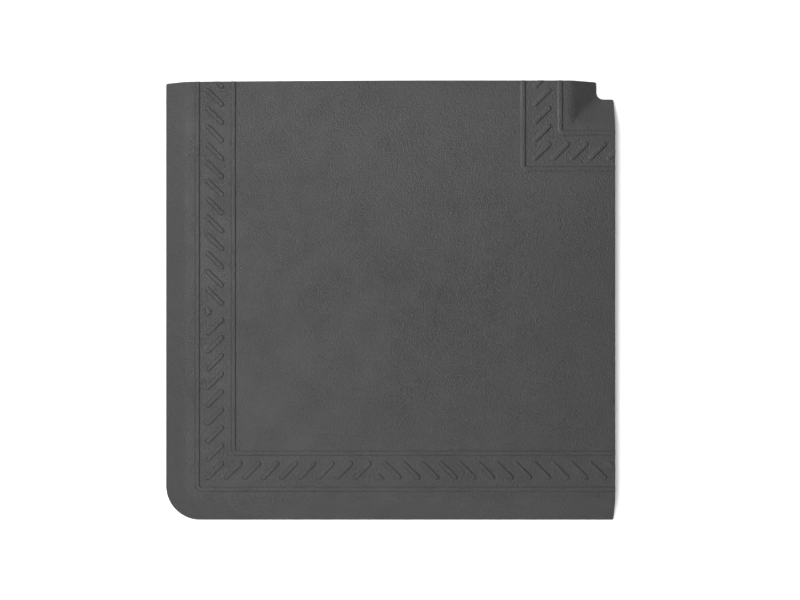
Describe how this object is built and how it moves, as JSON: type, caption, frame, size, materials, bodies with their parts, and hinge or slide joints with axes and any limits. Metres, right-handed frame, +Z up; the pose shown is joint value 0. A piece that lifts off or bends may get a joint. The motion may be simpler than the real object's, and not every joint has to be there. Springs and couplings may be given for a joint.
{
  "type": "anti fatigue mat corner section",
  "caption": "Corner section of a cushioned anti-fatigue floor mat with ramped outer sides, a raised border and two plain joining ends.",
  "frame": {"origin": "middle of the mat's bounding box in plan, on the floor plane that the underside rests on", "axes": "+Z up through the mat; the outer ramped corner points to -X and -Y; +Y is the back joining end and +X the side joining end, with the square inside corner between them"},
  "size_m": [0.6368, 0.623, 0.0191],
  "materials": {
    "skin": "satin charcoal polyurethane with a fine leather-like grain",
    "foam": "matt closed-cell polyurethane foam",
    "grip": "matt black non-slip sheet",
    "tape": "black loop tape"
  },
  "bodies": {
    "root": {"top_skin": "skin", "foam_core": "foam", "grip_base": "grip", "back_joining_tape": "tape", "side_joining_tape": "tape"}
  },
  "joints": []
}
